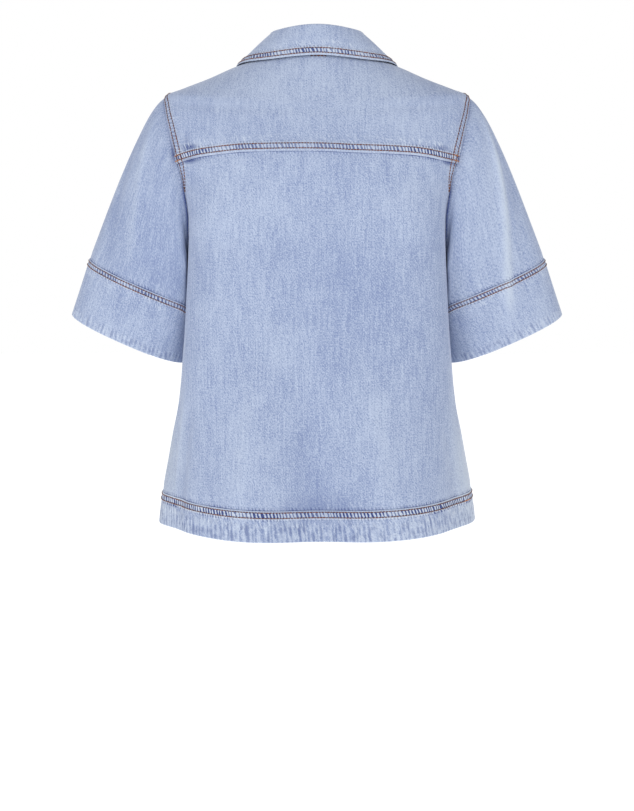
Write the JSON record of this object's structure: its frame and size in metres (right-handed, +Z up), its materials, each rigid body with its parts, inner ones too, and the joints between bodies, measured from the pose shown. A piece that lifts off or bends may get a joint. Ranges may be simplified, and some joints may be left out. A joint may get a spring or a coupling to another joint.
{
  "type": "denim shirt",
  "caption": "Short-sleeved button-front shirt in light denim, with a turned-down collar, a back shoulder yoke, and deep bands at the sleeve hems and the hem.",
  "frame": {"origin": "on the centre plane, level with the back neck, between the shoulders of a wearer", "axes": "+Z up, the front of the shirt faces -Y, the wearer's left is +X"},
  "size_m": [0.6478, 0.2881, 0.6429],
  "materials": {
    "denim": "washed light-blue denim twill, with rust-brown top-stitching in twin rows",
    "denim_band": "the same denim folded double, faded along its puckered edges",
    "button_metal": "aged copper-coloured metal, plain"
  },
  "bodies": {
    "root": {"back_yoke": "denim", "back_panel": "denim", "front_left": "denim", "front_right": "denim", "sleeve_left": "denim", "sleeve_right": "denim", "collar_stand": "denim", "collar_leaf": "denim", "hem_band_back": "denim_band", "hem_band_front_left": "denim_band", "hem_band_front_right": "denim_band", "sleeve_band_left": "denim_band", "sleeve_band_right": "denim_band", "button_1": "button_metal", "button_2": "button_metal", "button_3": "button_metal", "button_4": "button_metal", "button_5": "button_metal", "button_6": "button_metal"}
  },
  "joints": []
}
